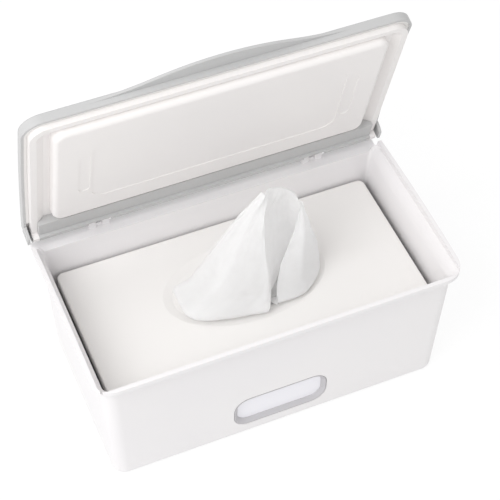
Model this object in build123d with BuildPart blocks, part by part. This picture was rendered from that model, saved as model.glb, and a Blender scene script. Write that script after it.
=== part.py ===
from build123d import *
import math
import os

os.makedirs("parts", exist_ok=True)

# Wipes dispenser, millimetres. The origin is at the middle of the tub's footprint on the table,
# +X to the right, the front with the window towards -Y, +Z up. The lid is modelled open.

# Tub
rim_width = 245.0
rim_depth = 132.0
rim_height = 103.5
rim_crown = 2.5
rim_front_radius = 14.0
rim_back_radius = 4.0
rim_band = 3.0
rim_wall = 2.6
rim_overhang = 5.3
flare_height = 11.5
body_taper_width = 3.8
body_taper_depth = 1.8
body_front_radius = 9.0
inner_front_radius = 5.0
body_back_radius = 4.5
base_edge_radius = 3.0
side_wall = 2.2
front_wall = 4.4
floor_thickness = 2.4
foot_stand = 1.0
rail_thickness = 5.0
rail_end_inset = 2.0
rail_reach = 2.5
shelf_end_reach = 1.0
notch_depth = 7.5

# Window in the front wall
window_width = 65.0
window_height = 29.0
window_radius = 11.0
window_level = 25.0
gasket_groove_width = 0.5
gasket_groove_depth = 0.6
gasket_edge = 0.6
reveal_depth = 2.4
reveal_inset = 3.2
lens_step = 0.5
lens_thickness = 1.2
lens_overlap = 1.0

# Rubber feet
foot_diameter = 12.0
foot_recess = 0.8
foot_side_inset = 19.4
foot_end_inset = 16.9

# Hinge behind the rim
hinge_setback = 3.0
hinge_inset = 47.5
ear_radius = 4.0
ear_width = 5.0
ear_gap = 4.4
ear_clearance = 0.6
block_level = -4.6
block_reach = 3.5
swing_radius = 10.5
swing_gap = 0.5
pin_diameter = 3.0
bush_diameter = 5.0
knuckle_side_clearance = 0.3
pin_clearance = 0.03
lid_open_angle = 75.0

# Lid
lid_overhang = 0.9
lid_skirt = 6.7
lid_wall = 1.8
lid_front_radius = 13.5
lid_back_radius = 3.0
lid_edge_radius = 1.2
lid_rest_gap = 0.3
lid_back_reach = 2.5
apron_drop = 6.0
cheek_drop = 7.0
tab_half_width = 85.0
tab_reach = 11.0
tab_thickness = 3.0

# White panel under the lid
lip_clearance = 0.4
lip_thickness = 4.0
lip_drop = 2.8
lip_back_setback = 2.4
lip_front_radius = 10.5
lip_back_radius = 2.0
channel_back_radius = 1.0
lip_slope = 5.0
rear_cut = -19.5
rear_floor = -5.2
rear_lip_drop = 7.2
rear_lip_thickness = 3.4
rear_gap = 0.1
channel_drop = -0.6
panel_wall = 1.8
island_side_inset = 13.5
island_front_inset = 6.0
island_back_inset = 18.0
island_drop = 6.6
island_radius = 7.0
island_slope = 0.6
island_edge_radius = 3.4
island_wall = 2.6
pad_side_inset = 24.0
pad_end_inset = 18.5
pad_radius = 10.0
pad_depth = 0.4
bar_side_inset = 19.0
bar_end_inset = 30.5
bar_width = 7.0
bar_radius = 3.0

# Seal in the lid
seal_height = 3.0
seal_side_gap = 0.1
seal_end = 14.0

# Weight plate
plate_side_gap = 4.4
plate_front_gap = 1.5
plate_back_gap = 1.7
plate_radius = 4.5
plate_level = 73.0
plate_height = 8.0
plate_skin = 2.0
plate_wall = 2.0
plate_edge_radius = 1.2
plate_base_thickness = 1.6
plate_base_gap = 0.1
opening_half_width = 43.0
opening_half_depth = 21.5
opening_place = (1.5, 2.0)
dish_half_width = 55.0
dish_half_depth = 33.0
dish_place = (1.5, 5.0)
dish_slope = 6.0
dish_depth = 1.4
collar_wall = 1.6
weight_inner_gap = 12.5
weight_outer_gap = 5.6
weight_end_gap = 11.3
weight_thickness = 4.2
weight_corner = 4.0
screw_diameter = 3.0
screw_length = 4.6
screw_head_diameter = 5.4
screw_head_height = 1.2
boss_diameter = 7.0
screw_side_inset = 8.6
screw_end_inset = 8.3

# Wipes
stack_side_gap = 11.2
stack_end_gap = 3.6
stack_radius = 3.0
stack_gap = 0.3
wipe_reach = 100.0
wipe_base_gap = 1.0
wipe_thickness = 0.8
fold_reach = 2.0

# How far cutting shapes reach past what they cut
high = 40.0
arch_reach = 5.0

# Levels and places that follow from the sizes above
rim_half_width = rim_width / 2
rim_half_depth = rim_depth / 2
neck_level = rim_height - rim_band - flare_height
neck_half_width = rim_half_width - rim_overhang
neck_half_depth = rim_half_depth - rim_overhang
base_half_width = neck_half_width - body_taper_width
base_half_depth = neck_half_depth - body_taper_depth
flare_radius = (flare_height**2 + rim_overhang**2) / (2 * rim_overhang)
floor_level = foot_stand + floor_thickness
shelf_level = rim_height - notch_depth
rail_half_width = rim_half_width - rail_end_inset
hinge_station = rim_half_width - hinge_inset
foot_across = base_half_width - foot_side_inset
foot_along = base_half_depth - foot_end_inset
hinge_y = rim_half_depth + hinge_setback
hinge_z = rim_height
crown_radius = (rim_half_depth**2 + rim_crown**2) / (2 * rim_crown)
arch_end = rim_half_depth + arch_reach
arch_end_level = rim_height + rim_crown - crown_radius + math.sqrt(crown_radius**2 - arch_end**2)


def outline(half_width, front, back, front_radius, back_radius):
    """A rounded rectangle whose front and back corners have radii of their own."""
    with BuildSketch() as shape:
        with Locations((0, (front + back) / 2)):
            Rectangle(2 * half_width, back - front)
        fillet(shape.vertices().group_by(Axis.Y)[0], front_radius)
        fillet(shape.vertices().group_by(Axis.Y)[-1], back_radius)
    return shape.sketch


# Levels of the flare under the rim, with how far each stands out from the neck
flare_steps = [0.0, 0.35, 0.7, 1.0]
flare_levels = [neck_level + step * flare_height for step in flare_steps]


def flare_out(level):
    """How far the wall stands out from the neck at a level in the flare."""
    return flare_radius - math.sqrt(flare_radius**2 - (level - neck_level) ** 2)


def body_grow(level):
    """Share of the way from the base up to the neck."""
    return (level - foot_stand) / (neck_level - foot_stand)


def body_half_width(level):
    """Half the width over the outside at a level under the neck."""
    return base_half_width + body_taper_width * body_grow(level)


def body_half_depth(level):
    """Half the depth over the outside at a level under the neck."""
    return base_half_depth + body_taper_depth * body_grow(level)


# The plane of the window lies on the tapered front wall, facing out
draft = math.atan2(body_taper_depth, neck_level - foot_stand)
window_plane = Plane(
    origin=(0, -body_half_depth(window_level), window_level),
    x_dir=(1, 0, 0),
    z_dir=(0, -math.cos(draft), -math.sin(draft)),
)
inner_neck_half_width = neck_half_width - side_wall
inner_neck_front = -(neck_half_depth - front_wall)
inner_back = neck_half_depth - side_wall
rim_inner_half_width = rim_half_width - rim_wall
rim_inner_front = -(rim_half_depth - rim_wall)
stations = [-hinge_station, hinge_station]
side_names = ["left", "right"]
ear_offset = (ear_gap + ear_width) / 2

# The tub with its window opening, rail, ears and foot recesses
with BuildPart() as tub:
    for level, half_width, half_depth in (
        (foot_stand, base_half_width, base_half_depth),
        (neck_level, neck_half_width, neck_half_depth),
    ):
        with BuildSketch(Plane.XY.offset(level)):
            add(outline(half_width, -half_depth, half_depth, body_front_radius, body_back_radius))
    loft()
    fillet(tub.edges().group_by(Axis.Z)[0], base_edge_radius)
    for level in flare_levels:
        out = flare_out(level)
        grow = out / rim_overhang
        with BuildSketch(Plane.XY.offset(level)):
            add(
                outline(
                    neck_half_width + out,
                    -neck_half_depth - out,
                    neck_half_depth + out,
                    body_front_radius + grow * (rim_front_radius - body_front_radius),
                    body_back_radius + grow * (rim_back_radius - body_back_radius),
                )
            )
    loft()
    with BuildSketch(Plane.XY.offset(rim_height - rim_band)):
        add(outline(rim_half_width, -rim_half_depth, rim_half_depth, rim_front_radius, rim_back_radius))
    extrude(amount=rim_band + rim_crown)
    # The sides of the rim rise in a long arc towards the middle of the depth
    with BuildSketch(Plane.YZ) as above_rim:
        with BuildLine():
            Line((-arch_end, arch_end_level), (-arch_end, rim_height + high))
            Line((-arch_end, rim_height + high), (arch_end, rim_height + high))
            Line((arch_end, rim_height + high), (arch_end, arch_end_level))
            ThreePointArc(
                (arch_end, arch_end_level), (0, rim_height + rim_crown), (-arch_end, arch_end_level)
            )
        make_face()
    extrude(amount=rim_half_width + rim_band, both=True, mode=Mode.SUBTRACT)
    # Inside of the body, then of the flare
    for level, half_width, front, back in (
        (
            floor_level,
            body_half_width(floor_level) - side_wall,
            -body_half_depth(floor_level) + front_wall,
            body_half_depth(floor_level) - side_wall,
        ),
        (neck_level, inner_neck_half_width, inner_neck_front, inner_back),
    ):
        with BuildSketch(Plane.XY.offset(level)):
            add(outline(half_width, front, back, inner_front_radius, body_back_radius - side_wall))
    loft(mode=Mode.SUBTRACT)
    for level in flare_levels:
        out = flare_out(level)
        grow = out / rim_overhang
        with BuildSketch(Plane.XY.offset(level)):
            add(
                outline(
                    inner_neck_half_width + grow * (rim_inner_half_width - inner_neck_half_width),
                    inner_neck_front + grow * (rim_inner_front - inner_neck_front),
                    inner_back,
                    inner_front_radius,
                    body_back_radius - side_wall,
                )
            )
    loft(mode=Mode.SUBTRACT)
    with BuildSketch(Plane.XY.offset(rim_height - rim_band)):
        add(
            outline(
                rim_inner_half_width,
                rim_inner_front,
                inner_back,
                inner_front_radius,
                body_back_radius - side_wall,
            )
        )
    extrude(amount=high, mode=Mode.SUBTRACT)
    # The rail across the back carries the hinge and its top is the shelf behind the weight plate
    with BuildSketch(Plane.XY.offset(shelf_level - rail_thickness)):
        with Locations((0, (inner_back + rim_half_depth + rail_reach) / 2)):
            Rectangle(2 * rail_half_width, rim_half_depth + rail_reach - inner_back)
    extrude(amount=rail_thickness)
    # Over the shelf the rim is cut away, in an arc round the hinge so that the lid can swing past
    with BuildSketch(Plane.YZ):
        with Locations((hinge_y, hinge_z)):
            Circle(swing_radius + swing_gap)
        with Locations((hinge_y, shelf_level + high / 2)):
            Rectangle(4 * swing_radius, high, mode=Mode.INTERSECT)
    extrude(amount=rim_half_width + rim_band, both=True, mode=Mode.SUBTRACT)
    with BuildSketch(Plane.XY.offset(shelf_level)):
        with Locations((0, inner_back + high / 2)):
            Rectangle(2 * (inner_neck_half_width + shelf_end_reach), high)
    extrude(amount=high, mode=Mode.SUBTRACT)
    with BuildSketch(Plane.XY.offset(rim_height - rim_band)):
        with Locations((0, inner_back - body_back_radius + high / 2)):
            Rectangle(2 * rim_inner_half_width, high)
    extrude(amount=high, mode=Mode.SUBTRACT)
    # Two blocks on the rail, each with a pair of ears
    for station in stations:
        with BuildSketch(Plane.YZ.offset(station)):
            with BuildLine():
                Polyline(
                    (rim_half_depth - rail_thickness / 2, shelf_level),
                    (rim_half_depth - rail_thickness / 2, shelf_level - rail_thickness),
                    (rim_half_depth, shelf_level - rail_thickness),
                    (hinge_y + block_reach, hinge_z + block_level - block_reach),
                    (hinge_y + block_reach, hinge_z + block_level),
                    (hinge_y - hinge_setback, hinge_z + block_level),
                    (hinge_y - hinge_setback, shelf_level),
                    close=True,
                )
            make_face()
        extrude(amount=ear_gap / 2 + ear_width, both=True)
        for side in (-1, 1):
            with BuildSketch(Plane.YZ.offset(station + side * ear_offset)):
                with Locations((hinge_y, hinge_z)):
                    Circle(ear_radius)
                with BuildLine():
                    Polyline(
                        (hinge_y - ear_radius, hinge_z),
                        (hinge_y - ear_radius, shelf_level - rail_thickness / 2),
                        (rim_half_depth, shelf_level - rail_thickness),
                        (hinge_y + ear_radius * math.sin(math.pi / 3), hinge_z - ear_radius / 2),
                        (hinge_y, hinge_z),
                        close=True,
                    )
                make_face()
            extrude(amount=ear_width / 2, both=True)
        with BuildSketch(Plane.YZ.offset(station)):
            with Locations((hinge_y, hinge_z)):
                Circle(pin_diameter / 2)
        extrude(amount=ear_gap / 2 + ear_width, both=True, mode=Mode.SUBTRACT)
    # Opening for the window
    with BuildSketch(window_plane.offset(side_wall)):
        RectangleRounded(window_width, window_height, window_radius)
    extrude(amount=-high / 2, mode=Mode.SUBTRACT)
    # Recesses for the feet
    with BuildSketch(Plane.XY.offset(foot_stand)):
        with GridLocations(2 * foot_across, 2 * foot_along, 2, 2):
            Circle(foot_diameter / 2)
    extrude(amount=foot_recess, mode=Mode.SUBTRACT)
tub.part.label = "tub"
export_step(tub.part, "parts/tub.step")


def window_outline(inset):
    """Outline of the window, drawn in by a given amount."""
    with BuildSketch() as shape:
        RectangleRounded(window_width - 2 * inset, window_height - 2 * inset, window_radius - inset)
    return shape.sketch


# Grey gasket ring with a tapered reveal, and the window pane pressed into it from behind
pane_depth = reveal_depth + lens_step
with BuildPart() as window_gasket:
    with BuildSketch(window_plane.offset(-gasket_groove_depth)):
        add(window_outline(0))
    extrude(amount=gasket_groove_depth - pane_depth - lens_thickness)
    with BuildSketch(window_plane):
        add(window_outline(gasket_groove_width))
    extrude(amount=-gasket_groove_depth)
    for depth, inset in ((0, gasket_groove_width + gasket_edge), (reveal_depth, reveal_inset)):
        with BuildSketch(window_plane.offset(-depth)):
            add(window_outline(inset))
    loft(mode=Mode.SUBTRACT)
    with BuildSketch(window_plane.offset(-reveal_depth)):
        add(window_outline(reveal_inset))
    extrude(amount=-lens_step, mode=Mode.SUBTRACT)
    with BuildSketch(window_plane.offset(-pane_depth)):
        add(window_outline(reveal_inset - lens_overlap))
    extrude(amount=-lens_thickness, mode=Mode.SUBTRACT)
window_gasket.part.label = "window_gasket"
export_step(window_gasket.part, "parts/window_gasket.step")

with BuildPart() as window_lens:
    with BuildSketch(window_plane.offset(-pane_depth)):
        add(window_outline(reveal_inset - lens_overlap))
    extrude(amount=-lens_thickness)
window_lens.part.label = "window_lens"
export_step(window_lens.part, "parts/window_lens.step")

# Rubber feet
for place_y, depth_name in ((-foot_along, "front"), (foot_along, "back")):
    for place_x, side_name in ((-foot_across, "left"), (foot_across, "right")):
        with BuildPart() as foot:
            with BuildSketch(Plane.XY):
                with Locations((place_x, place_y)):
                    Circle(foot_diameter / 2)
            extrude(amount=foot_stand + foot_recess)
        foot_name = f"foot_{depth_name}_{side_name}"
        foot.part.label = foot_name
        export_step(foot.part, f"parts/{foot_name}.step")

# The lid's own planes: distances along y and z are as on the closed lid, from the hinge axis
lean = math.radians(lid_open_angle)
lid_plane = Plane(
    origin=(0, hinge_y, hinge_z), x_dir=(1, 0, 0), z_dir=(0, math.sin(lean), math.cos(lean))
)
lid_side = Plane(
    origin=(0, hinge_y, hinge_z), x_dir=(0, math.cos(lean), -math.sin(lean)), z_dir=(1, 0, 0)
)
lid_half_width = rim_half_width + lid_overhang
lid_front = -rim_half_depth - lid_overhang - hinge_y
lid_back = rim_half_depth + lid_back_reach - hinge_y
lid_middle = (lid_front + lid_back) / 2
rim_front_y = -rim_half_depth - hinge_y
rim_back_y = rim_half_depth - hinge_y
rim_middle_y = -hinge_y
tab_radius = (tab_half_width**2 + tab_reach**2) / (4 * tab_reach)
tab_turn = math.asin(tab_half_width / 2 / tab_radius)


# The lid's top arc carried on past both of its edges, and how far it has dropped there
lid_half_span = (lid_back - lid_front) / 2
top_radius = (lid_half_span**2 + rim_crown**2) / (2 * rim_crown)
arch_drop = top_radius - math.sqrt(top_radius**2 - (lid_half_span + arch_reach) ** 2) - rim_crown


def arch(low, top):
    """A block wider than the lid, between the arc of the rim and the arc of the lid's top."""
    with BuildPart() as block:
        with BuildSketch(lid_side):
            with BuildLine():
                Line((lid_front - arch_reach, low), (rim_front_y, low))
                ThreePointArc((rim_front_y, low), (rim_middle_y, low + rim_crown), (rim_back_y, low))
                Line((rim_back_y, low), (lid_back + arch_reach, low))
                Line((lid_back + arch_reach, low), (lid_back + arch_reach, top - arch_drop))
                ThreePointArc(
                    (lid_back + arch_reach, top - arch_drop),
                    (lid_middle, top + rim_crown),
                    (lid_front - arch_reach, top - arch_drop),
                )
                Line((lid_front - arch_reach, top - arch_drop), (lid_front - arch_reach, low))
            make_face()
        extrude(amount=lid_half_width + arch_reach, both=True)
    return block.part


def lid_outline(inset):
    """Outline of the lid without its tab, drawn in by a given amount."""
    return outline(
        lid_half_width - inset,
        lid_front + inset,
        lid_back - inset,
        lid_front_radius - inset,
        lid_back_radius - inset,
    )


def lip_outline(inset, back_radius):
    """Outline of the white panel's lip, drawn in by a given amount."""
    return outline(
        lip_half_width - inset,
        rim_inner_front + lip_clearance - hinge_y + inset,
        -lip_back_setback - inset,
        lip_front_radius - inset,
        back_radius,
    )


lip_half_width = rim_inner_half_width - lip_clearance
apron_front = lid_back - lid_wall
pocket_half_width = ear_gap / 2 + ear_width + ear_clearance
pocket_reach = ear_radius + ear_clearance
knuckle_half_width = ear_gap / 2 - knuckle_side_clearance
shell_inside = lid_skirt - lid_wall
half_x = tab_half_width / 2
half_y = tab_reach / 2
rise_x = tab_half_width - tab_radius * math.sin(tab_turn / 2)
rise_y = tab_radius * (1 - math.cos(tab_turn / 2))

rear_half_width = lip_half_width - lip_thickness - rear_gap

# Grey outer shell of the lid with tab, rear apron, rear lip and hinge knuckles
with BuildPart() as lid_shell:
    with BuildSketch(lid_plane):
        add(lid_outline(0))
    extrude(amount=lid_skirt + rim_crown)
    add(arch(lid_rest_gap, lid_skirt), mode=Mode.INTERSECT)
    fillet(lid_shell.faces().sort_by(SortBy.AREA)[-1].edges(), lid_edge_radius)
    with BuildPart(mode=Mode.PRIVATE) as hollow:
        with BuildSketch(lid_plane.offset(-high / 2)):
            add(lid_outline(lid_wall))
        extrude(amount=high)
        add(arch(-high / 2, shell_inside), mode=Mode.INTERSECT)
    add(hollow.part, mode=Mode.SUBTRACT)
    with BuildSketch(lid_plane.offset(lid_skirt - tab_thickness)):
        with BuildLine():
            ThreePointArc(
                (-tab_half_width, lid_front), (-rise_x, lid_front - rise_y), (-half_x, lid_front - half_y)
            )
            ThreePointArc(
                (-half_x, lid_front - half_y), (0, lid_front - tab_reach), (half_x, lid_front - half_y)
            )
            ThreePointArc(
                (half_x, lid_front - half_y), (rise_x, lid_front - rise_y), (tab_half_width, lid_front)
            )
            Polyline(
                (tab_half_width, lid_front),
                (tab_half_width, lid_front + lid_wall),
                (-tab_half_width, lid_front + lid_wall),
                (-tab_half_width, lid_front),
            )
        make_face()
    extrude(amount=tab_thickness - lid_edge_radius)
    # The apron hangs behind the rail, and a cheek at each end closes the cut in the rim
    with BuildSketch(lid_plane.offset(-apron_drop)):
        with Locations((0, (apron_front + lid_back) / 2)):
            Rectangle(2 * (lid_half_width - lid_back_radius), lid_back - apron_front)
    extrude(amount=apron_drop + lid_skirt / 2)
    for side in (-1, 1):
        with BuildSketch(lid_side.offset(side * (lid_half_width - lid_wall / 2))):
            Circle(swing_radius)
            with Locations((lid_back - swing_radius, (lid_skirt / 2 - cheek_drop) / 2)):
                Rectangle(2 * swing_radius, cheek_drop + lid_skirt / 2, mode=Mode.INTERSECT)
        extrude(amount=lid_wall / 2, both=True)
    # Along the hinge the shell is thicker, with a lip that reaches down to the shelf
    with BuildSketch(lid_plane.offset(rear_floor)):
        with Locations((0, (rear_cut + rear_gap + apron_front) / 2)):
            Rectangle(2 * rear_half_width, apron_front - rear_cut - rear_gap)
    extrude(amount=shell_inside - rear_floor)
    with BuildSketch(lid_plane.offset(-rear_lip_drop)):
        with Locations((0, -lip_back_setback - rear_lip_thickness / 2)):
            Rectangle(2 * rear_half_width, rear_lip_thickness)
    extrude(amount=rear_lip_drop + shell_inside / 2)
    for station in stations:
        with BuildSketch(lid_plane.offset(-high)):
            with Locations((station, 0)):
                Rectangle(2 * pocket_half_width, 2 * pocket_reach)
        extrude(amount=high + pocket_reach, mode=Mode.SUBTRACT)
        with BuildSketch(lid_side.offset(station)):
            Circle(ear_radius)
            with Locations(((-ear_radius + lid_back) / 2, (shell_inside + lid_skirt) / 4)):
                Rectangle(ear_radius + lid_back, (shell_inside + lid_skirt) / 2)
        extrude(amount=knuckle_half_width, both=True)
        with BuildSketch(lid_side.offset(station)):
            Circle(bush_diameter / 2)
        extrude(amount=ear_gap, both=True, mode=Mode.SUBTRACT)
lid_shell.part.label = "lid_shell"
export_step(lid_shell.part, "parts/lid_shell.step")

# White panel: lip on three sides, channel and raised island with its shallow pad
island_half_width = lip_half_width - island_side_inset
island_front_y = rim_inner_front + lip_clearance + island_front_inset - hinge_y
island_back_y = rim_back_y - island_back_inset
island_middle_y = (island_front_y + island_back_y) / 2
island_depth = island_back_y - island_front_y
bar_place = island_half_width - bar_side_inset
with BuildPart() as lid_panel:
    with BuildSketch(lid_plane.offset(-island_drop)):
        with Locations((0, island_middle_y)):
            RectangleRounded(2 * island_half_width, island_depth, island_radius)
    with BuildSketch(lid_plane.offset(panel_wall - channel_drop)):
        with Locations((0, island_middle_y)):
            RectangleRounded(
                2 * (island_half_width + island_slope),
                island_depth + island_slope,
                island_radius + island_slope,
            )
    loft()
    island_face = lid_panel.faces().sort_by(Axis(lid_plane.origin, lid_plane.z_dir))[0]
    fillet(island_face.edges(), island_edge_radius)
    with BuildPart(mode=Mode.PRIVATE) as surround:
        with BuildSketch(lid_plane.offset(-lip_drop)):
            add(lip_outline(0, lip_back_radius))
        extrude(amount=lip_drop + shell_inside + rim_crown)
        with BuildSketch(lid_plane.offset(-lip_drop)):
            add(lip_outline(lip_thickness, channel_back_radius))
        with BuildSketch(lid_plane.offset(-channel_drop)):
            add(lip_outline(lip_thickness + lip_slope, channel_back_radius))
        loft(mode=Mode.SUBTRACT)
        with BuildSketch(lid_plane.offset(panel_wall - channel_drop)):
            add(lip_outline(lip_thickness, channel_back_radius))
        extrude(amount=high, mode=Mode.SUBTRACT)
    add(surround.part)
    # Flange over the seal, against the underside of the shell
    with BuildPart(mode=Mode.PRIVATE) as flange:
        with BuildSketch(lid_plane):
            add(lid_outline(lid_wall + seal_side_gap))
            add(lip_outline(lip_thickness, channel_back_radius), mode=Mode.SUBTRACT)
        extrude(amount=high)
        add(arch(lid_rest_gap + seal_height, high / 2), mode=Mode.INTERSECT)
    add(flange.part)
    add(arch(shell_inside, high), mode=Mode.SUBTRACT)
    # Behind the island the panel ends, and only the lip's two ends go on to the hinge
    with BuildSketch(lid_plane.offset(-high)):
        with Locations((0, rear_cut + high / 2)):
            Rectangle(2 * (lip_half_width - lip_thickness), high)
    extrude(amount=2 * high, mode=Mode.SUBTRACT)
    for side in (-1, 1):
        with BuildSketch(lid_plane.offset(-rear_lip_drop)):
            with Locations(
                (side * (lip_half_width - lip_thickness / 2), -lip_back_setback - rear_lip_thickness / 2)
            ):
                Rectangle(lip_thickness, rear_lip_thickness)
        extrude(amount=rear_lip_drop)
    # Hollow behind the island
    with BuildSketch(lid_plane.offset(panel_wall - island_drop)):
        with Locations((0, island_middle_y)):
            RectangleRounded(
                2 * (island_half_width - island_wall),
                island_depth - 2 * island_wall,
                island_radius - island_wall,
            )
    extrude(amount=high, mode=Mode.SUBTRACT)
    # Pad with a short bar at each end, pressed in
    with BuildSketch(lid_plane.offset(-island_drop)):
        with Locations((0, island_middle_y)):
            RectangleRounded(
                2 * (island_half_width - pad_side_inset), island_depth - 2 * pad_end_inset, pad_radius
            )
        with Locations((-bar_place, island_middle_y), (bar_place, island_middle_y)):
            RectangleRounded(bar_width, island_depth - 2 * bar_end_inset, bar_radius)
    extrude(amount=pad_depth, mode=Mode.SUBTRACT)
lid_panel.part.label = "lid_panel"
export_step(lid_panel.part, "parts/lid_panel.step")

# Soft seal on three sides, in the groove between shell and panel
with BuildPart() as lid_seal:
    with BuildSketch(lid_plane.offset(-high / 2)):
        add(
            outline(
                lid_half_width - lid_wall - seal_side_gap,
                lid_front + lid_wall + seal_side_gap,
                -lip_back_setback,
                lid_front_radius - lid_wall - seal_side_gap,
                lip_back_radius,
            )
        )
        add(lip_outline(-seal_side_gap, lip_back_radius), mode=Mode.SUBTRACT)
        with Locations((0, high - seal_end)):
            Rectangle(2 * lid_half_width, 2 * high, mode=Mode.SUBTRACT)
    extrude(amount=high)
    add(arch(2 * lid_rest_gap, high / 2), mode=Mode.INTERSECT)
    add(arch(lid_rest_gap + seal_height, high), mode=Mode.SUBTRACT)
lid_seal.part.label = "lid_seal"
export_step(lid_seal.part, "parts/lid_seal.step")

# Steel pins held in the ears, and a bush in each knuckle turning on its pin with some grip
for station, side_name in zip(stations, side_names):
    with BuildPart() as hinge_pin:
        with BuildSketch(Plane.YZ.offset(station)):
            with Locations((hinge_y, hinge_z)):
                Circle(pin_diameter / 2)
        extrude(amount=ear_gap / 2 + ear_width, both=True)
    hinge_pin.part.label = f"hinge_pin_{side_name}"
    export_step(hinge_pin.part, f"parts/hinge_pin_{side_name}.step")
    with BuildPart() as hinge_bush:
        with BuildSketch(lid_side.offset(station)):
            Circle(bush_diameter / 2)
            Circle(pin_diameter / 2 + pin_clearance, mode=Mode.SUBTRACT)
        extrude(amount=knuckle_half_width, both=True)
    hinge_bush.part.label = f"hinge_bush_{side_name}"
    export_step(hinge_bush.part, f"parts/hinge_bush_{side_name}.step")

# Weight plate: cover with a dished oval opening, base, two steel slabs and screws
plate_bottom = plate_level - plate_height
plate_half_width = body_half_width(plate_bottom) - side_wall - plate_side_gap
plate_front = front_wall + plate_front_gap - body_half_depth(plate_bottom)
plate_back = body_half_depth(plate_bottom) - side_wall - plate_back_gap
plate_middle = (plate_front + plate_back) / 2
screw_across = plate_half_width - screw_side_inset
screw_rows = (plate_front + screw_end_inset, plate_back - screw_end_inset)
screw_places = [(x, y) for x in (-screw_across, 0, screw_across) for y in screw_rows]
cover_under = plate_level - plate_skin
base_top = plate_bottom + plate_base_thickness
with BuildPart() as plate_top:
    with BuildSketch(Plane.XY.offset(plate_bottom)):
        add(outline(plate_half_width, plate_front, plate_back, plate_radius, plate_radius))
    extrude(amount=plate_height)
    fillet(plate_top.faces().sort_by(Axis.Z)[-1].edges(), plate_edge_radius)
    with BuildSketch(Plane.XY.offset(plate_bottom)):
        add(
            outline(
                plate_half_width - plate_wall,
                plate_front + plate_wall,
                plate_back - plate_wall,
                plate_radius - plate_wall,
                plate_radius - plate_wall,
            )
        )
    extrude(amount=plate_height - plate_skin, mode=Mode.SUBTRACT)
    with BuildSketch(Plane.XY.offset(base_top)):
        with Locations(opening_place):
            Ellipse(opening_half_width + collar_wall, opening_half_depth + collar_wall)
        with Locations(*screw_places):
            Circle(boss_diameter / 2)
    extrude(amount=cover_under - base_top)
    # Under the dish the cover is as thick as elsewhere
    with BuildSketch(Plane.XY.offset(cover_under - dish_depth)):
        with Locations(dish_place):
            Ellipse(dish_half_width, dish_half_depth)
    extrude(amount=dish_depth)
    with BuildSketch(Plane.XY.offset(plate_level)):
        with Locations(dish_place):
            Ellipse(dish_half_width, dish_half_depth)
    with BuildSketch(Plane.XY.offset(plate_level - dish_depth)):
        with Locations(dish_place):
            Ellipse(dish_half_width - dish_slope, dish_half_depth - dish_slope)
    loft(mode=Mode.SUBTRACT)
    with BuildSketch(Plane.XY.offset(plate_bottom)):
        with Locations(opening_place):
            Ellipse(opening_half_width, opening_half_depth)
    extrude(amount=plate_height, mode=Mode.SUBTRACT)
    with BuildSketch(Plane.XY.offset(base_top)):
        with Locations(*screw_places):
            Circle(screw_diameter / 2)
    extrude(amount=screw_length - plate_base_thickness + screw_head_height, mode=Mode.SUBTRACT)
plate_top.part.label = "plate_top"
export_step(plate_top.part, "parts/plate_top.step")

with BuildPart() as plate_base:
    with BuildSketch(Plane.XY.offset(plate_bottom)):
        add(
            outline(
                plate_half_width - plate_wall - plate_base_gap,
                plate_front + plate_wall + plate_base_gap,
                plate_back - plate_wall - plate_base_gap,
                plate_radius - plate_wall - plate_base_gap,
                plate_radius - plate_wall - plate_base_gap,
            )
        )
        with Locations(opening_place):
            Ellipse(opening_half_width, opening_half_depth, mode=Mode.SUBTRACT)
        with Locations(*screw_places):
            Circle(screw_diameter / 2, mode=Mode.SUBTRACT)
    extrude(amount=plate_base_thickness)
    with BuildSketch(Plane.XY.offset(plate_bottom)):
        with Locations(*screw_places):
            Circle(screw_head_diameter / 2)
    extrude(amount=screw_head_height, mode=Mode.SUBTRACT)
plate_base.part.label = "plate_base"
export_step(plate_base.part, "parts/plate_base.step")

weight_inner = opening_half_width + abs(opening_place[0]) + weight_inner_gap
weight_outer = plate_half_width - weight_outer_gap
for side, side_name in zip((-1, 1), side_names):
    with BuildPart() as plate_weight:
        with BuildSketch(Plane.XY.offset(base_top)):
            with Locations((side * (weight_inner + weight_outer) / 2, plate_middle)):
                RectangleRounded(
                    weight_outer - weight_inner, plate_back - plate_front - 2 * weight_end_gap, weight_corner
                )
            with Locations(*screw_places):
                Circle(boss_diameter / 2 + plate_base_gap, mode=Mode.SUBTRACT)
        extrude(amount=weight_thickness)
    plate_weight.part.label = f"plate_weight_{side_name}"
    export_step(plate_weight.part, f"parts/plate_weight_{side_name}.step")

with BuildPart() as plate_screws:
    with BuildSketch(Plane.XY.offset(plate_bottom)):
        with Locations(*screw_places):
            Circle(screw_head_diameter / 2)
    extrude(amount=screw_head_height)
    with BuildSketch(Plane.XY.offset(plate_bottom + screw_head_height)):
        with Locations(*screw_places):
            Circle(screw_diameter / 2)
    extrude(amount=screw_length)
plate_screws.part.label = "plate_screws"
export_step(plate_screws.part, "parts/plate_screws.step")

# The pile of folded wipes under the plate
stack_half_width = body_half_width(floor_level) - side_wall - stack_side_gap
stack_front = front_wall + stack_end_gap - body_half_depth(floor_level)
stack_back = body_half_depth(floor_level) - side_wall - stack_end_gap
with BuildPart() as wipes_stack:
    with BuildSketch(Plane.XY.offset(floor_level)):
        with Locations((0, (stack_front + stack_back) / 2)):
            RectangleRounded(2 * stack_half_width, stack_back - stack_front, stack_radius)
    extrude(amount=plate_bottom - stack_gap - floor_level)
wipes_stack.part.label = "wipes_stack"
export_step(wipes_stack.part, "parts/wipes_stack.step")


def bow(start, middle, end):
    """Normals of the arc through three points, at its start, middle and end."""
    centre = Edge.make_three_point_arc(start, middle, end).arc_center
    side = (middle[0] - start[0]) * (end[1] - start[1]) - (middle[1] - start[1]) * (end[0] - start[0])
    way = 1 if side < 0 else -1
    normals = []
    for point in (start, middle, end):
        reach = math.hypot(point[0] - centre.X, point[1] - centre.Y)
        normals.append((way * (point[0] - centre.X) / reach, way * (point[1] - centre.Y) / reach))
    return normals


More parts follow.
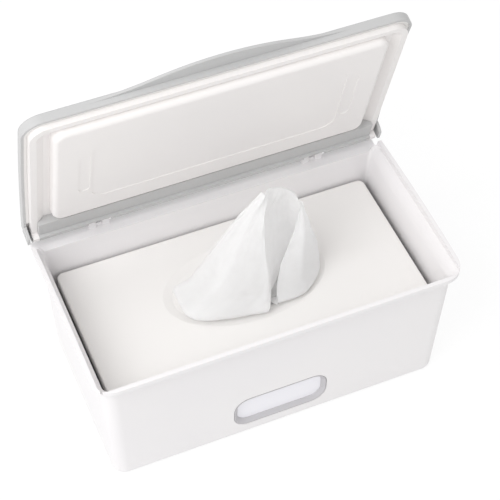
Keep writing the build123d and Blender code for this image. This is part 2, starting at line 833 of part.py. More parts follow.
def ribbon(points):
    """A thin band of cloth along arcs; every second point lies midway on an arc."""
    normals = [bow(*points[i : i + 3]) for i in range(0, len(points) - 2, 2)]
    sides = []
    for way in (1, -1):
        moved = []
        for i, point in enumerate(points):
            if i % 2:
                normal = normals[i // 2][1]
            elif i == 0:
                normal = normals[0][0]
            elif i == len(points) - 1:
                normal = normals[-1][2]
            else:
                before = normals[i // 2 - 1][2]
                after = normals[i // 2][0]
                total = (before[0] + after[0], before[1] + after[1])
                length = math.hypot(*total)
                stretch = min(2 / length, fold_reach)
                normal = (stretch * total[0] / length, stretch * total[1] / length)
            reach = way * wipe_thickness / 2
            moved.append((point[0] + reach * normal[0], point[1] + reach * normal[1]))
        sides.append(moved)
    with BuildSketch() as band:
        with BuildLine():
            for moved in sides:
                for i in range(0, len(moved) - 2, 2):
                    ThreePointArc(*moved[i : i + 3])
            Line(sides[0][0], sides[1][0])
            Line(sides[0][-1], sides[1][-1])
        make_face()
    return band.sketch


# The pulled-up wipe: left edge, front fold, back of the fold, right lobe and front edge, by level,
# as shares of wipe_reach from the plate's underside
wipe_levels = [
    (
        0,
        [(-0.35, 0.06), (-0.24, -0.09), (0, -0.14), (0.05, -0.095), (0.12, -0.04),
         (0.28, 0.04), (0.35, -0.03), (0.27, -0.115), (0.06, -0.145)],
    ),
    (
        0.07,
        [(-0.38, 0.07), (-0.27, -0.1), (0, -0.16), (0.05, -0.105), (0.12, -0.04),
         (0.28, 0.07), (0.4, -0.04), (0.3, -0.125), (0.06, -0.16)],
    ),
    (
        0.09,
        [(-0.46, 0.12), (-0.39, -0.145), (0.04, -0.275), (0.07, -0.2), (0.14, -0.1),
         (0.34, 0.07), (0.47, -0.07), (0.33, -0.22), (0.095, -0.27)],
    ),
    (
        0.13,
        [(-0.445, 0.13), (-0.375, -0.13), (0.06, -0.235), (0.09, -0.17), (0.15, -0.09),
         (0.35, 0.08), (0.5, -0.04), (0.34, -0.19), (0.105, -0.225)],
    ),
    (
        0.19,
        [(-0.34, 0.11), (-0.28, -0.11), (0.07, -0.205), (0.1, -0.15), (0.16, -0.08),
         (0.36, 0.07), (0.5, -0.015), (0.32, -0.155), (0.12, -0.19)],
    ),
    (
        0.31,
        [(-0.265, 0.1), (-0.18, -0.08), (0.08, -0.165), (0.11, -0.11), (0.18, -0.045),
         (0.36, 0.06), (0.49, 0.01), (0.35, -0.1), (0.17, -0.13)],
    ),
    (
        0.52,
        [(-0.16, 0.07), (-0.07, -0.045), (0.085, -0.1), (0.115, -0.05), (0.185, 0),
         (0.31, 0.075), (0.425, 0.02), (0.38, -0.035), (0.295, -0.055)],
    ),
    (
        0.72,
        [(-0.035, 0.055), (0.03, -0.005), (0.095, -0.04), (0.115, 0), (0.18, 0.05),
         (0.27, 0.08), (0.373, 0.05), (0.374, 0.015), (0.356, -0.01)],
    ),
    (
        0.89,
        [(0.122, 0.048), (0.128, 0.03), (0.13, 0.01), (0.15, 0.05), (0.2, 0.075),
         (0.28, 0.075), (0.35, 0.045), (0.364, 0.02), (0.365, -0.01)],
    ),
]
crest_start = (0.135, 0.886)
crest_middle = (0.29, 0.825)
crest_end = (0.372, 0.685)
wipe_base = plate_bottom + wipe_base_gap


def wipe_place(share_point):
    """A place on the wipe seen from the front, in millimetres."""
    return (wipe_reach * share_point[0], wipe_base + wipe_reach * share_point[1])


start = wipe_place(crest_start)
end = wipe_place(crest_end)
with BuildPart() as pulled_wipe:
    for level, points in wipe_levels:
        with BuildSketch(Plane.XY.offset(wipe_base + wipe_reach * level)):
            add(ribbon([(wipe_reach * x, wipe_reach * y) for x, y in points]))
    loft(ruled=True)
    # The top edge falls away to the right in an arc
    with BuildSketch(Plane.XZ):
        with BuildLine():
            Polyline(
                (start[0] - high, start[1]),
                (start[0] - high, start[1] + high),
                (end[0] + high, start[1] + high),
                (end[0] + high, end[1]),
                end,
            )
            ThreePointArc(end, wipe_place(crest_middle), start)
            Line(start, (start[0] - high, start[1]))
        make_face()
    extrude(amount=high, both=True, mode=Mode.SUBTRACT)
pulled_wipe.part.label = "pulled_wipe"
export_step(pulled_wipe.part, "parts/pulled_wipe.step")
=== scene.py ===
import math
import random

import bmesh
import bpy
from mathutils import Matrix, Vector, noise


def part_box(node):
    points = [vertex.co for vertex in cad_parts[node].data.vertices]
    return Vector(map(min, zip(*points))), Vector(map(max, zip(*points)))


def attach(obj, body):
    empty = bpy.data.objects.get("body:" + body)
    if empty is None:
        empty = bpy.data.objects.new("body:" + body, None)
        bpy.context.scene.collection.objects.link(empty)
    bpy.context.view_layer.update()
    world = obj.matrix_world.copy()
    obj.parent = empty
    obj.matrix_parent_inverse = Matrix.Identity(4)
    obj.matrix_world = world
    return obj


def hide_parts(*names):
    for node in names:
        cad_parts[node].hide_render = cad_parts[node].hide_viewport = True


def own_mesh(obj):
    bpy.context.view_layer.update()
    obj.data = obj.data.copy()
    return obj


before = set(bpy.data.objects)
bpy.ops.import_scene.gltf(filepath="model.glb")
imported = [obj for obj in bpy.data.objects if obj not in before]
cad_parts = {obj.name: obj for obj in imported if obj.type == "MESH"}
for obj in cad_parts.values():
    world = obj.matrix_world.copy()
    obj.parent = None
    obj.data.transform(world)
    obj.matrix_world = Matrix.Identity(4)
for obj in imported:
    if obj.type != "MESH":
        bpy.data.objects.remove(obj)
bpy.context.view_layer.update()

bl_info = {
    "name": "Wipes Dispenser",
    "version": (1, 0, 0),
    "blender": (4, 5, 0),
    "location": "3D View > Sidebar > Wipes Dispenser",
    "description": "Finishes, cloth and studio for a wipes dispenser with a hinged lid",
    "category": "Object",
}

MM = 0.001

# Patterns, in repeats per metre. The flow tone is some 100 mm long and the uneven satin some 20 mm.
FLOW_TONE = 9.0
UNEVEN_SATIN = 45.0
# Spark-eroded pits are about 0.05 mm wide, and are drawn at about 0.7 mm, where they just show
ERODED_PITS = 1500.0
# A moulded pane ripples every 15 mm or so
PANE_RIPPLE = 60.0
# Dust on rubber lies in patches of about 4 mm
RUBBER_DUST = 260.0
# Grinding scratches come out some 1 mm long and 0.1 mm across, once drawn out along one axis
GRINDING_SCRATCHES = 900.0
# The cloth is cloudy every 8 mm, its dimples stand 2.4 mm apart, and its fibres are drawn at 0.7 mm
CLOTH_CLOUD = 120.0
CLOTH_DIMPLE = 420.0
CLOTH_FIBRE = 1400.0


def linear(code):
    """Turns a written sRGB colour, such as "#f2f0ee", into the linear values that shaders take."""
    code = code.lstrip("#")
    values = []
    for i in (0, 2, 4):
        c = int(code[i : i + 2], 16) / 255
        values.append(c / 12.92 if c <= 0.04045 else ((c + 0.055) / 1.055) ** 2.4)
    return (*values, 1.0)


def node(tree, kind, links=None, **sockets):
    """Adds one shader node, sets the named sockets and properties, and links other nodes' outputs to it."""
    made = tree.nodes.new(kind)
    for name, value in sockets.items():
        label = name.replace("_", " ")
        if label in made.inputs:
            made.inputs[label].default_value = value
        else:
            setattr(made, name, value)
    for name, output in (links or {}).items():
        tree.links.new(output, made.inputs[name])
    return made


def fresh(name):
    """A new material with an output node, and the shader tree it is built in."""
    material = bpy.data.materials.new(name)
    material.use_nodes = True
    tree = material.node_tree
    tree.nodes.clear()
    return material, tree


def close(tree, shader):
    """Links the finished surface to the material's output."""
    node(tree, "ShaderNodeOutputMaterial", {"Surface": shader})


def moulded_plastic(name, colour, warmer, roughness, grain):
    """Injection-moulded plastic: a spark-eroded fine grain, faint flow tone and uneven satin."""
    material, tree = fresh(name)
    place = node(tree, "ShaderNodeTexCoord").outputs["Object"]
    flow = node(tree, "ShaderNodeTexNoise", {"Vector": place}, Scale=FLOW_TONE, Detail=2.0, Roughness=0.5)
    tone = node(tree, "ShaderNodeValToRGB", {"Fac": flow.outputs["Fac"]})
    tone.color_ramp.elements[0].position = 0.35
    tone.color_ramp.elements[0].color = linear(colour)
    tone.color_ramp.elements[1].position = 0.7
    tone.color_ramp.elements[1].color = linear(warmer)
    satin = node(tree, "ShaderNodeTexNoise", {"Vector": place}, Scale=UNEVEN_SATIN, Detail=3.0)
    rough = node(
        tree,
        "ShaderNodeMapRange",
        {"Value": satin.outputs["Fac"]},
        To_Min=roughness - 0.04,
        To_Max=roughness + 0.05,
    )
    pits = node(
        tree, "ShaderNodeTexNoise", {"Vector": place}, Scale=ERODED_PITS, Detail=2.0, Roughness=0.6
    )
    bump = node(
        tree, "ShaderNodeBump", {"Height": pits.outputs["Fac"]}, Strength=grain, Distance=0.00008
    )
    shader = node(
        tree,
        "ShaderNodeBsdfPrincipled",
        {
            "Base Color": tone.outputs["Color"],
            "Roughness": rough.outputs["Result"],
            "Normal": bump.outputs["Normal"],
        },
        IOR=1.49,
        Subsurface_Weight=0.05,
        Subsurface_Radius=(0.004, 0.004, 0.004),
        Subsurface_Scale=0.5,
    )
    close(tree, shader.outputs["BSDF"])
    return material


def clear_window_plastic(colour, roughness):
    """Clear polystyrene for the window, with the faint ripple of a moulded pane."""
    material, tree = fresh("clear_window_plastic")
    place = node(tree, "ShaderNodeTexCoord").outputs["Object"]
    ripple = node(tree, "ShaderNodeTexNoise", {"Vector": place}, Scale=PANE_RIPPLE, Detail=1.0)
    bump = node(
        tree, "ShaderNodeBump", {"Height": ripple.outputs["Fac"]}, Strength=0.08, Distance=0.0003
    )
    shader = node(
        tree,
        "ShaderNodeBsdfPrincipled",
        {"Normal": bump.outputs["Normal"]},
        Base_Color=linear(colour),
        Roughness=roughness,
        IOR=1.45,
        Transmission_Weight=0.06,
    )
    close(tree, shader.outputs["BSDF"])
    return material


def moulded_rubber(name, colour, roughness):
    """Rubber for feet, gasket and seal, with a dull, slightly dusty skin."""
    material, tree = fresh(name)
    place = node(tree, "ShaderNodeTexCoord").outputs["Object"]
    dust = node(tree, "ShaderNodeTexNoise", {"Vector": place}, Scale=RUBBER_DUST, Detail=4.0)
    rough = node(
        tree,
        "ShaderNodeMapRange",
        {"Value": dust.outputs["Fac"]},
        To_Min=roughness - 0.08,
        To_Max=roughness + 0.08,
    )
    bump = node(
        tree, "ShaderNodeBump", {"Height": dust.outputs["Fac"]}, Strength=0.2, Distance=0.00006
    )
    shader = node(
        tree,
        "ShaderNodeBsdfPrincipled",
        {"Roughness": rough.outputs["Result"], "Normal": bump.outputs["Normal"]},
        Base_Color=linear(colour),
        IOR=1.5,
    )
    close(tree, shader.outputs["BSDF"])
    return material


def ground_steel(name, colour, stretch):
    """Ground steel: fine scratches drawn out along one axis, over a slightly uneven shine."""
    material, tree = fresh(name)
    place = node(tree, "ShaderNodeTexCoord").outputs["Object"]
    drawn = node(tree, "ShaderNodeMapping", {"Vector": place}, Scale=stretch)
    scratches = node(
        tree,
        "ShaderNodeTexNoise",
        {"Vector": drawn.outputs["Vector"]},
        Scale=GRINDING_SCRATCHES,
        Detail=3.0,
    )
    rough = node(
        tree, "ShaderNodeMapRange", {"Value": scratches.outputs["Fac"]}, To_Min=0.25, To_Max=0.42
    )
    bump = node(
        tree, "ShaderNodeBump", {"Height": scratches.outputs["Fac"]}, Strength=0.15, Distance=0.00003
    )
    shader = node(
        tree,
        "ShaderNodeBsdfPrincipled",
        {"Roughness": rough.outputs["Result"], "Normal": bump.outputs["Normal"]},
        Base_Color=linear(colour),
        Metallic=1.0,
    )
    close(tree, shader.outputs["BSDF"])
    return material


def wipe_cloth(name, colour, shade, coordinates, glow):
    """Spunlaced cloth: tangled fibres, rows of small dimples, a soft sheen and light coming through."""
    material, tree = fresh(name)
    place = node(tree, "ShaderNodeTexCoord").outputs[coordinates]
    cloud = node(
        tree, "ShaderNodeTexNoise", {"Vector": place}, Scale=CLOTH_CLOUD, Detail=5.0, Roughness=0.65
    )
    tone = node(tree, "ShaderNodeValToRGB", {"Fac": cloud.outputs["Fac"]})
    tone.color_ramp.elements[0].position = 0.3
    tone.color_ramp.elements[0].color = linear(shade)
    tone.color_ramp.elements[1].position = 0.62
    tone.color_ramp.elements[1].color = linear(colour)
    fibre = node(
        tree, "ShaderNodeTexNoise", {"Vector": place}, Scale=CLOTH_FIBRE, Detail=6.0, Distortion=1.2
    )
    dimple = node(tree, "ShaderNodeTexVoronoi", {"Vector": place}, Scale=CLOTH_DIMPLE, Randomness=0.15)
    dent = node(
        tree, "ShaderNodeMapRange", {"Value": dimple.outputs["Distance"]}, From_Max=0.35, To_Max=1.0
    )
    height = node(
        tree,
        "ShaderNodeMath",
        {0: fibre.outputs["Fac"], 1: dent.outputs["Result"]},
        operation="ADD",
    )
    bump = node(
        tree, "ShaderNodeBump", {"Height": height.outputs["Value"]}, Strength=0.25, Distance=0.0001
    )
    shader = node(
        tree,
        "ShaderNodeBsdfPrincipled",
        {"Base Color": tone.outputs["Color"], "Normal": bump.outputs["Normal"]},
        Roughness=0.88,
        Sheen_Weight=0.4,
        Sheen_Roughness=0.5,
    )
    through = node(
        tree, "ShaderNodeBsdfTranslucent", {"Color": tone.outputs["Color"], "Normal": bump.outputs["Normal"]}
    )
    mix = node(
        tree, "ShaderNodeMixShader", {1: shader.outputs["BSDF"], 2: through.outputs["BSDF"]}, Fac=glow
    )
    close(tree, mix.outputs["Shader"])
    return material


def dress(name, material):
    """Gives a carried-over CAD node its finish."""
    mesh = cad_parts[name].data
    mesh.materials.clear()
    mesh.materials.append(material)


def seen_directly(tree):
    """Tells what the camera sees, straight or by way of gloss or a clear pane, from what only lights."""
    rays = node(tree, "ShaderNodeLightPath")
    direct = node(
        tree,
        "ShaderNodeMath",
        {0: rays.outputs["Is Camera Ray"], 1: rays.outputs["Is Glossy Ray"]},
        operation="MAXIMUM",
    )
    return node(
        tree,
        "ShaderNodeMath",
        {0: direct.outputs["Value"], 1: rays.outputs["Is Transmission Ray"]},
        operation="MAXIMUM",
    )


def keep_mesh(bm, name, material, smooth=True):
    """Makes an object at the origin from a finished bmesh."""
    mesh = bpy.data.meshes.new(name)
    bm.to_mesh(mesh)
    bm.free()
    mesh.materials.append(material)
    for face in mesh.polygons:
        face.use_smooth = smooth
    made = bpy.data.objects.new(name, mesh)
    bpy.context.scene.collection.objects.link(made)
    return made


class FinishColours(bpy.types.PropertyGroup):
    tub: bpy.props.StringProperty(
        name="Tub", description="Colour of the white moulded tub, written as sRGB", default="#efedee"
    )
    lid: bpy.props.StringProperty(
        name="Lid", description="Colour of the grey lid shell, written as sRGB", default="#c4c4c4"
    )
    panel: bpy.props.StringProperty(
        name="Lid panel", description="Colour of the panel under the lid, written as sRGB", default="#f2efee"
    )
    plate: bpy.props.StringProperty(
        name="Weight plate", description="Colour of the weight plate, written as sRGB", default="#efedeb"
    )
    cloth: bpy.props.StringProperty(
        name="Wipes", description="Colour of the wipes, written as sRGB", default="#fefefe"
    )
    rubber: bpy.props.StringProperty(
        name="Rubber", description="Colour of the feet, written as sRGB", default="#8f9092"
    )
    gasket: bpy.props.StringProperty(
        name="Gasket", description="Colour of the ring round the window, written as sRGB", default="#c4c2c5"
    )


class WipeSizes(bpy.types.PropertyGroup):
    layer: bpy.props.FloatProperty(
        name="Folded wipe",
        description="Height of one folded wipe in the pile",
        default=0.0026,
        unit="LENGTH",
    )
    fold_radius: bpy.props.FloatProperty(
        name="Fold radius", description="Rounding of a folded edge", default=0.0011, unit="LENGTH"
    )
    slip: bpy.props.FloatProperty(
        name="Slip", description="How far layers lie out of line", default=0.0006, unit="LENGTH"
    )
    thickness: bpy.props.FloatProperty(
        name="Thickness", description="Thickness of the cloth of a wipe", default=0.0006, unit="LENGTH"
    )
    turned_edge: bpy.props.FloatProperty(
        name="Turned edge",
        description="How far the wipe's free front edge is turned in",
        default=0.0048,
        unit="LENGTH",
    )
    wrinkle: bpy.props.FloatProperty(
        name="Wrinkle", description="Depth of soft wrinkles in the wipe", default=0.0009, unit="LENGTH"
    )


class StudioSettings(bpy.types.PropertyGroup):
    world: bpy.props.FloatProperty(
        name="World", description="Strength of the even light from all round", default=0.76
    )
    key: bpy.props.FloatProperty(
        name="Key", description="Power of the soft lamp at the upper left", default=7.5, unit="POWER"
    )
    lens: bpy.props.FloatProperty(
        name="Lens", description="Focal length of the camera, in millimetres", default=115.5
    )
    azimuth: bpy.props.FloatProperty(
        name="Azimuth",
        description="Turn of the camera round the tub, from straight in front",
        default=math.radians(-23.78),
        subtype="ANGLE",
    )
    elevation: bpy.props.FloatProperty(
        name="Elevation",
        description="Height of the camera above the table, as an angle",
        default=math.radians(50.44),
        subtype="ANGLE",
    )
    roll: bpy.props.FloatProperty(
        name="Roll", description="Tilt of the camera", default=math.radians(1.04), subtype="ANGLE"
    )


class WIPES_OT_tub(bpy.types.Operator):
    """Finish the tub, its window, gasket and feet"""

    bl_idname = "wipes.tub"
    bl_label = "Tub and Window"

    def execute(self, context):
        colours = context.scene.wipes_colours
        dress("tub", moulded_plastic("white_moulded_tub", colours.tub, "#f1efef", 0.42, 0.25))
        dress("window_lens", clear_window_plastic("#fbfaff", 0.18))
        dress("window_gasket", moulded_rubber("pale_window_gasket", colours.gasket, 0.55))
        grey = moulded_rubber("grey_moulded_rubber", colours.rubber, 0.7)
        for end in ("front", "back"):
            for side in ("left", "right"):
                dress(f"foot_{end}_{side}", grey)
        return {"FINISHED"}


class WIPES_OT_lid(bpy.types.Operator):
    """Finish the lid shell, the panel under it, the seal and the hinge"""

    bl_idname = "wipes.lid"
    bl_label = "Lid and Hinge"

    def execute(self, context):
        colours = context.scene.wipes_colours
        dress("lid_shell", moulded_plastic("grey_moulded_lid", colours.lid, "#c8c8c8", 0.45, 0.3))
        dress("lid_panel", moulded_plastic("white_moulded_panel", colours.panel, "#f4f1ef", 0.4, 0.2))
        dress("lid_seal", moulded_rubber("soft_lid_seal", "#eceae8", 0.6))
        steel = ground_steel("ground_steel_pin", "#b5b6b8", (1.0, 12.0, 12.0))
        dark = moulded_plastic("dark_bush_plastic", "#3a3a3c", "#404042", 0.5, 0.2)
        for side in ("left", "right"):
            dress(f"hinge_pin_{side}", steel)
            dress(f"hinge_bush_{side}", dark)
        return {"FINISHED"}


class WIPES_OT_plate(bpy.types.Operator):
    """Finish the weight plate with the steel slabs and screws inside it"""

    bl_idname = "wipes.plate"
    bl_label = "Weight Plate"

    def execute(self, context):
        colours = context.scene.wipes_colours
        white = moulded_plastic("white_moulded_plate", colours.plate, "#f2f0ee", 0.38, 0.2)
        dress("plate_top", white)
        dress("plate_base", white)
        slab = ground_steel("rolled_steel_slab", "#9a9b9e", (12.0, 1.0, 12.0))
        for side in ("left", "right"):
            dress(f"plate_weight_{side}", slab)
        dress("plate_screws", ground_steel("zinc_plated_screw", "#c3c4c6", (1.0, 1.0, 8.0)))
        return {"FINISHED"}


PILE_SEED = 7
LAYER_FILL = 0.97
FEWEST_LAYERS = 4


class WIPES_OT_pile(bpy.types.Operator):
    """Build the pile of folded wipes that the weight plate rests on"""

    bl_idname = "wipes.pile"
    bl_label = "Pile of Wipes"

    def execute(self, context):
        sizes = context.scene.wipes_sizes
        colours = context.scene.wipes_colours
        low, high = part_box("wipes_stack")
        chance = random.Random(PILE_SEED)
        count = max(int((high[2] - low[2]) / sizes.layer), FEWEST_LAYERS)
        layer = (high[2] - low[2]) / count
        bm = bmesh.new()
        for i in range(count):
            part = bmesh.ops.create_cube(bm, size=1.0)["verts"]
            inset = sizes.slip * chance.random()
            size = (high[0] - low[0] - 2 * inset, high[1] - low[1] - 2 * inset, layer * LAYER_FILL)
            bmesh.ops.scale(bm, vec=size, verts=part)
            slip = Vector((chance.uniform(-inset, inset), chance.uniform(-inset, inset), 0))
            middle = Vector(((low[0] + high[0]) / 2, (low[1] + high[1]) / 2, low[2] + (i + 0.5) * layer))
            bmesh.ops.translate(bm, vec=middle + slip, verts=part)
            edges = list({e for v in part for e in v.link_edges})
            bmesh.ops.bevel(
                bm,
                geom=edges,
                offset=sizes.fold_radius,
                offset_type="OFFSET",
                segments=3,
                profile=0.5,
                affect="EDGES",
                material=-1,
            )
        cloth = wipe_cloth("folded_wipe_cloth", colours.cloth, "#efefed", "Object", 0.1)
        pile = keep_mesh(bm, "folded_wipes", cloth)
        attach(pile, "tub")
        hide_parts("wipes_stack")
        return {"FINISHED"}


# The wipe's course at rising levels, in millimetres: left edge, front fold, pocket, right lobe, front
# edge. Its crest falls from its start to its end.
WIPE_COURSE = [
    (
        66.0,
        [(-35, 6), (-24, -9), (0, -14), (5, -9.5), (12, -4),
         (28, 4), (35, -3), (27, -11.5), (6, -14.5)],
    ),
    (
        73.0,
        [(-38, 7), (-27, -10), (0, -16), (5, -10.5), (12, -4),
         (28, 7), (40, -4), (30, -12.5), (6, -16)],
    ),
    (
        75.0,
        [(-46, 12), (-41, -15), (4, -28), (7, -20), (14, -10),
         (34, 7), (47, -7), (33, -22), (9.5, -27)],
    ),
    (
        79.0,
        [(-44.5, 13), (-40, -14.5), (6, -23.5), (9, -17), (15, -9),
         (35, 8), (50, -4), (34, -19), (10.5, -22.5)],
    ),
    (
        85.0,
        [(-34, 11), (-28, -11), (7, -20.5), (10, -15), (16, -8),
         (36, 7), (50, -1.5), (32, -15.5), (12, -19)],
    ),
    (
        97.0,
        [(-26.5, 10), (-18, -8), (8, -16.5), (11, -11), (18, -4.5),
         (36, 6), (49, 1), (35, -10), (17, -13)],
    ),
    (
        118.0,
        [(-16, 7), (-7, -4.5), (8.5, -10), (11.5, -5), (18.5, 0),
         (31, 7.5), (42.5, 2), (38, -3.5), (29.5, -5.5)],
    ),
    (
        138.0,
        [(-3.5, 5.5), (3, -0.5), (9.5, -4), (11.5, 0), (18, 5),
         (27, 8), (37.3, 5), (37.4, 1.5), (35.6, -1)],
    ),
    (
        155.0,
        [(12.2, 4.8), (12.8, 3), (13, 1), (15, 5), (20, 7.5),
         (28, 7.5), (35, 4.5), (36.4, 2), (36.5, -1)],
    ),
]
CREST_START = (12.5, 154.6)
CREST_END = (37.0, 134.5)
CREST_FALL = 1.6
CREST_TRIES = 6
JUST_UNDER_ONE = 0.999999

# The wipe's grid, the size of its cloth for the weave, and the shares of it that stay put when smoothed
WIPE_GRID = (120, 72)
CLOTH_SPAN = (0.19, 0.09)
STILL_EDGE = 0.004
STILL_FOOT = 0.03
STILL_CREST = 0.005
SMOOTHINGS = 3
# Folds drawn up to the crest, finer ones among them, and crumples that lie aslant
DRAWN_FOLDS = (13, 2.2)
FINE_FOLDS = (34, 5)
CRUMPLES = (9, 5, 11)
CRUMPLE_SHARE = 0.7
# Wrinkles fade out over these shares at the foot and the crest. The edge turns over the last share of
# the course, and comes to its full turn over a share of the height.
FADE_FOOT = 0.2
FADE_CREST = 0.05
TURN_FROM = 0.9
TURN_SPAN = 0.1
TURN_FOOT = 0.15


def course_point(points, along):
    """A point part of the way along one level's course, which is smooth but for the front fold."""
    stretches = (points[:3], points[2:])
    lengths = []
    for run in stretches:
        lengths.append(sum(math.dist(a, b) for a, b in zip(run, run[1:])))
    reach = along * sum(lengths)
    run = stretches[0] if reach <= lengths[0] else stretches[1]
    share = reach / lengths[0] if run is stretches[0] else (reach - lengths[0]) / lengths[1]
    place = min(share, JUST_UNDER_ONE) * (len(run) - 1)
    i = int(place)
    t = place - i
    a = run[max(i - 1, 0)]
    b, c = run[i], run[i + 1]
    d = run[min(i + 2, len(run) - 1)]
    return tuple(
        0.5 * (2 * b[k] + (c[k] - a[k]) * t + (2 * a[k] - 5 * b[k] + 4 * c[k] - d[k]) * t * t
        + (3 * b[k] - a[k] - 3 * c[k] + d[k]) * t**3)
        for k in (0, 1)
    )


def course_at(along, level):
    """The place of the wipe across and along the tub, at a share of its course and a level."""
    levels = [row[0] for row in WIPE_COURSE]
    i = min(sum(level >= h for h in levels[1:]), len(levels) - 2)
    t = (level - levels[i]) / (levels[i + 1] - levels[i])
    low = course_point(WIPE_COURSE[i][1], along)
    high = course_point(WIPE_COURSE[i + 1][1], along)
    return (low[0] + t * (high[0] - low[0]), low[1] + t * (high[1] - low[1]))


def crest(x):
    """Level of the wipe's free top edge, which falls away to the right in a quarter of an ellipse."""
    share = min(max((x - CREST_START[0]) / (CREST_END[0] - CREST_START[0]), 0), 1)
    return CREST_START[1] - (CREST_START[1] - CREST_END[1]) * (1 - math.sqrt(1 - share**CREST_FALL))


def wipe_point(along, up):
    """A point of the pulled-up wipe, by shares along its course and up its height."""
    base = WIPE_COURSE[0][0]
    top = CREST_START[1]
    for _ in range(CREST_TRIES):
        top = 0.5 * top + 0.5 * crest(course_at(along, top)[0])
    level = base + up * (top - base)
    x, y = course_at(along, level)
    return Vector((x, y, level)) * MM


class WIPES_OT_pulled_wipe(bpy.types.Operator):
    """Build the wipe that stands pulled up through the plate's opening"""

    bl_idname = "wipes.pulled_wipe"
    bl_label = "Pulled-up Wipe"

    def execute(self, context):
        sizes = context.scene.wipes_sizes
        colours = context.scene.wipes_colours
        bm = bmesh.new()
        uv = bm.loops.layers.uv.new("cloth")
        bmesh.ops.create_grid(bm, x_segments=WIPE_GRID[0], y_segments=WIPE_GRID[1], size=0.5)
        shares = {v: (v.co.x + 0.5, v.co.y + 0.5) for v in bm.verts}
        for face in bm.faces:
            for loop in face.loops:
                along, up = shares[loop.vert]
                loop[uv].uv = (along * CLOTH_SPAN[0], up * CLOTH_SPAN[1])
        for v, (along, up) in shares.items():
            v.co = wipe_point(along, up)
        inside = []
        for v, (along, up) in shares.items():
            if STILL_EDGE < along < 1 - STILL_EDGE and STILL_FOOT < up < 1 - STILL_CREST:
                inside.append(v)
        for _ in range(SMOOTHINGS):
            bmesh.ops.smooth_vert(
                bm, verts=inside, factor=0.5, use_axis_x=True, use_axis_y=True, use_axis_z=True
            )
        bm.normal_update()
        moves = {}
        for v in inside:
            along, up = shares[v]
            hold = min(up / FADE_FOOT, 1) * min((1 - up) / FADE_CREST, 1)
            drawn = noise.noise((along * DRAWN_FOLDS[0], up * DRAWN_FOLDS[1], 0.3))
            drawn += 0.5 * noise.noise((along * FINE_FOLDS[0], up * FINE_FOLDS[1], 4.7))
            crumple = noise.noise((along * CRUMPLES[0] + up * CRUMPLES[1], up * CRUMPLES[2], 8.1))
            moves[v] = v.normal * hold * sizes.wrinkle * (drawn + CRUMPLE_SHARE * crumple)
        for v, move in moves.items():
            v.co += move
        for v, (along, up) in shares.items():
            turned = max((along - TURN_FROM) / TURN_SPAN, 0) * min(up / TURN_FOOT, 1)
            turned *= math.sqrt(1 - up)
            v.co += turned * Vector((0.75 * sizes.turned_edge, sizes.turned_edge, 0))
        bm.normal_update()
        cloth = wipe_cloth("pulled_wipe_cloth", colours.cloth, "#fbfbfb", "UV", 0.6)
        wipe = keep_mesh(bm, "pulled_up_wipe", cloth)
        thick = wipe.modifiers.new("cloth_thickness", "SOLIDIFY")
        thick.thickness = sizes.thickness
        thick.offset = 0
        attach(wipe, "weight_plate")
        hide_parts("pulled_wipe")
        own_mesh(wipe)
        return {"FINISHED"}


# Strengths at which backdrop and floor show white, and how much of that white goes into the floor
BACKDROP_WHITE = 1.02
FLOOR_WHITE = 1.06
FLOOR_SHARE = 0.8
# The lamp's place and the points that lamp and camera look at, in metres
KEY_PLACE = (-0.75, -0.35, 1.0)
KEY_AIM = (0, 0, 0.08)
CAMERA_AIM = (0, 0, 0.06)
# The camera's distance and its shift across and up, in millimetres
CAMERA_DISTANCE = 1041
CAMERA_ACROSS = 2.93
CAMERA_UP = 31.94


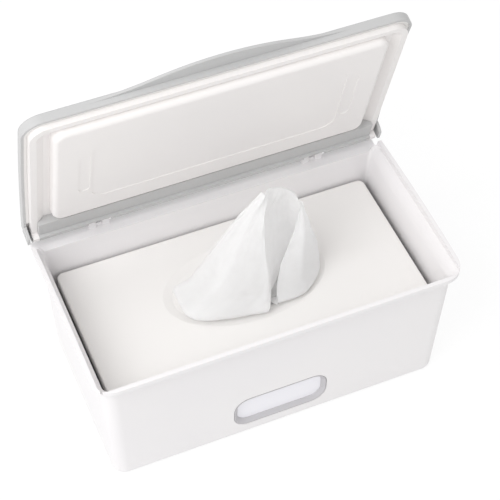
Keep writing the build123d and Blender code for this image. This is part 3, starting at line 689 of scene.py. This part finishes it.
class WIPES_OT_stage(bpy.types.Operator):
    """Set up the pale floor, the soft light and the camera"""

    bl_idname = "wipes.stage"
    bl_label = "Studio"

    def execute(self, context):
        studio = context.scene.wipes_studio
        scene = context.scene
        scene.view_settings.view_transform = "Standard"
        world = bpy.data.worlds.new("white_studio")
        scene.world = world
        world.use_nodes = True
        tree = world.node_tree
        tree.nodes.clear()
        seen = seen_directly(tree)
        plain = node(tree, "ShaderNodeBackground", Color=(1, 1, 1, 1), Strength=studio.world)
        white = node(tree, "ShaderNodeBackground", Color=(1, 1, 1, 1), Strength=BACKDROP_WHITE)
        mix = node(
            tree,
            "ShaderNodeMixShader",
            {0: seen.outputs["Value"], 1: plain.outputs["Background"], 2: white.outputs["Background"]},
        )
        node(tree, "ShaderNodeOutputWorld", {"Surface": mix.outputs["Shader"]})

        bm = bmesh.new()
        bmesh.ops.create_grid(bm, x_segments=1, y_segments=1, size=4.0)
        material, tree = fresh("white_paper_floor")
        seen = seen_directly(tree)
        matt = node(tree, "ShaderNodeBsdfDiffuse", Color=(0.88, 0.88, 0.88, 1))
        bright = node(tree, "ShaderNodeEmission", Color=(1, 1, 1, 1), Strength=FLOOR_WHITE)
        half = node(tree, "ShaderNodeMath", {0: seen.outputs["Value"]}, operation="MULTIPLY")
        half.inputs[1].default_value = FLOOR_SHARE
        mix = node(
            tree,
            "ShaderNodeMixShader",
            {0: half.outputs["Value"], 1: matt.outputs["BSDF"], 2: bright.outputs["Emission"]},
        )
        close(tree, mix.outputs["Shader"])
        floor = keep_mesh(bm, "studio_floor", material, smooth=False)

        lamp = bpy.data.lights.new("soft_key", "AREA")
        lamp.shape = "DISK"
        lamp.size = 0.9
        lamp.energy = studio.key
        key = bpy.data.objects.new("soft_key", lamp)
        scene.collection.objects.link(key)
        key.location = KEY_PLACE
        key.rotation_euler = (Vector(KEY_AIM) - key.location).to_track_quat("-Z", "Y").to_euler()

        camera = bpy.data.cameras.new("studio_camera")
        camera.sensor_width = 36.0
        camera.lens = studio.lens
        camera.clip_start = 0.05
        eye = bpy.data.objects.new("studio_camera", camera)
        scene.collection.objects.link(eye)
        az, el, roll = studio.azimuth, studio.elevation, studio.roll
        back = Vector((math.sin(az) * math.cos(el), -math.cos(az) * math.cos(el), math.sin(el)))
        right = Vector((math.cos(az), math.sin(az), 0))
        up = back.cross(right)
        tilted = math.cos(roll) * right + math.sin(roll) * up
        upright = math.cos(roll) * up - math.sin(roll) * right
        turn = Matrix((tilted, upright, back)).transposed().to_4x4()
        stand = Vector(CAMERA_AIM) + back * CAMERA_DISTANCE * MM
        stand += tilted * CAMERA_ACROSS * MM
        stand += upright * CAMERA_UP * MM
        eye.matrix_world = Matrix.Translation(stand) @ turn
        scene.camera = eye
        return {"FINISHED"}


class WIPES_PT_panel(bpy.types.Panel):
    """Shows the finish colours, the wipe sizes and the studio settings, with a button for each step"""

    bl_idname = "WIPES_PT_panel"
    bl_label = "Wipes Dispenser"
    bl_space_type = "VIEW_3D"
    bl_region_type = "UI"
    bl_category = "Wipes Dispenser"

    def draw(self, context):
        layout = self.layout
        for group in (context.scene.wipes_colours, context.scene.wipes_sizes, context.scene.wipes_studio):
            box = layout.box()
            for name in group.__annotations__:
                box.prop(group, name)
        for step in STEPS:
            layout.operator(step.bl_idname)


STEPS = (
    WIPES_OT_tub,
    WIPES_OT_lid,
    WIPES_OT_plate,
    WIPES_OT_pile,
    WIPES_OT_pulled_wipe,
    WIPES_OT_stage,
)
CLASSES = (FinishColours, WipeSizes, StudioSettings, *STEPS, WIPES_PT_panel)


def register():
    for cls in CLASSES:
        bpy.utils.register_class(cls)
    bpy.types.Scene.wipes_colours = bpy.props.PointerProperty(type=FinishColours)
    bpy.types.Scene.wipes_sizes = bpy.props.PointerProperty(type=WipeSizes)
    bpy.types.Scene.wipes_studio = bpy.props.PointerProperty(type=StudioSettings)


def unregister():
    del bpy.types.Scene.wipes_studio
    del bpy.types.Scene.wipes_sizes
    del bpy.types.Scene.wipes_colours
    for cls in reversed(CLASSES):
        bpy.utils.unregister_class(cls)


def main():
    register()
    for step in STEPS:
        group, name = step.bl_idname.split(".")
        getattr(getattr(bpy.ops, group), name)()


if __name__ == "__main__":
    main()
